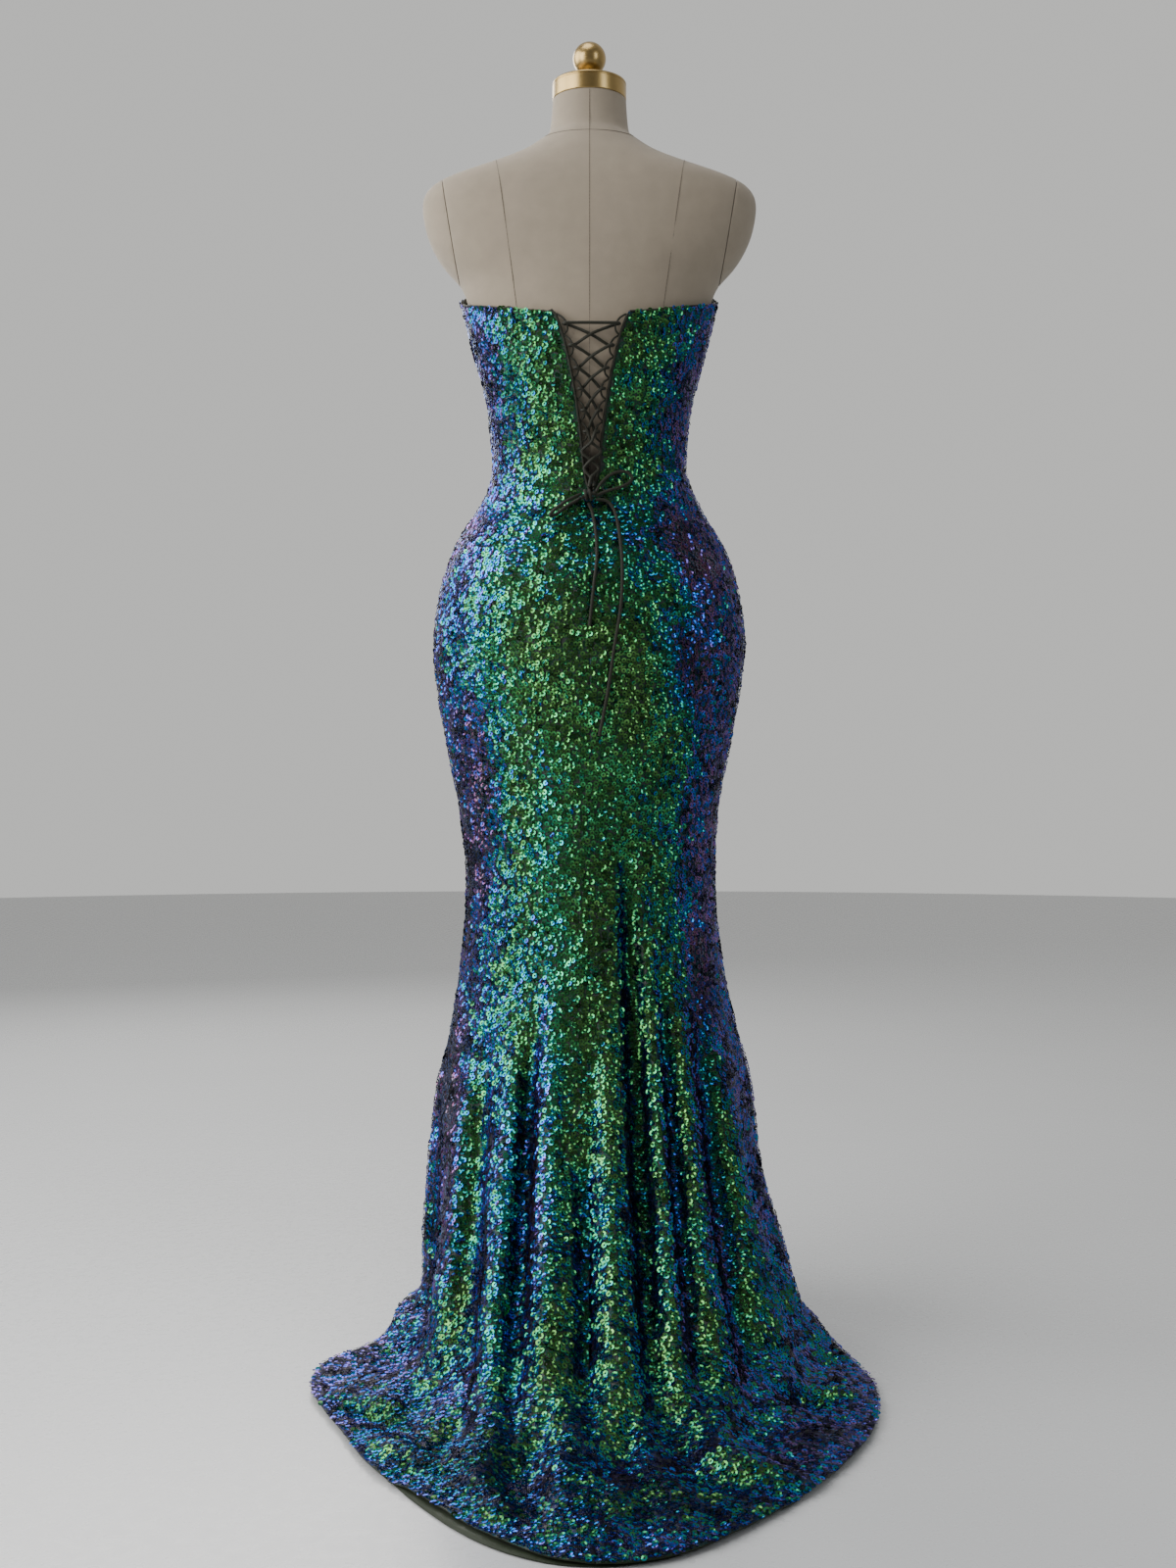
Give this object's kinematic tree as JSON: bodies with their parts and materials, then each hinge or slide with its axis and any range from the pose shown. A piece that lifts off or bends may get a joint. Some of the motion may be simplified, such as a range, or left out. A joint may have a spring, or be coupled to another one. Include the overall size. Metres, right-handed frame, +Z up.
{
  "type": "sequined mermaid evening gown on limbless dress form",
  "caption": "Strapless fitted mermaid gown with a laced V back, waist bow and short train, worn on a linen dress form with a brass neck plate and ball.",
  "frame": {"origin": "centre of the stand base's underside, on the pole's axis", "axes": "+Z up along the pole, the gown's front towards -Y, the train towards +Y, the wearer's left towards +X"},
  "size_m": [0.623, 0.9562, 1.592],
  "materials": {
    "sequin_cloth": "iridescent ring sequins on dark mesh",
    "olive_lining": "matte satin lining",
    "olive_cord": "dull satin rouleau",
    "linen": "plain woven linen",
    "brass": "satin brushed",
    "black_steel": "powder coat"
  },
  "bodies": {
    "root": {"panel_centre_front": "sequin_cloth", "panel_side_front_left": "sequin_cloth", "panel_side_front_right": "sequin_cloth", "panel_side_back_left": "sequin_cloth", "panel_side_back_right": "sequin_cloth", "panel_centre_back_left": "sequin_cloth", "panel_centre_back_right": "sequin_cloth", "hem_facing": "olive_lining", "loop_strip_left": "olive_cord", "loop_strip_right": "olive_cord", "lacing_cord": "olive_cord", "bow_knot": "olive_cord", "bow_loop_left": "olive_cord", "bow_loop_right": "olive_cord", "lace_tail_left": "olive_cord", "lace_tail_right": "olive_cord", "form_torso": "linen", "form_arm_cap_left": "linen", "form_arm_cap_right": "linen", "form_neck_plate": "brass", "form_finial": "brass", "stand_pole": "black_steel", "stand_base": "black_steel"}
  },
  "joints": []
}
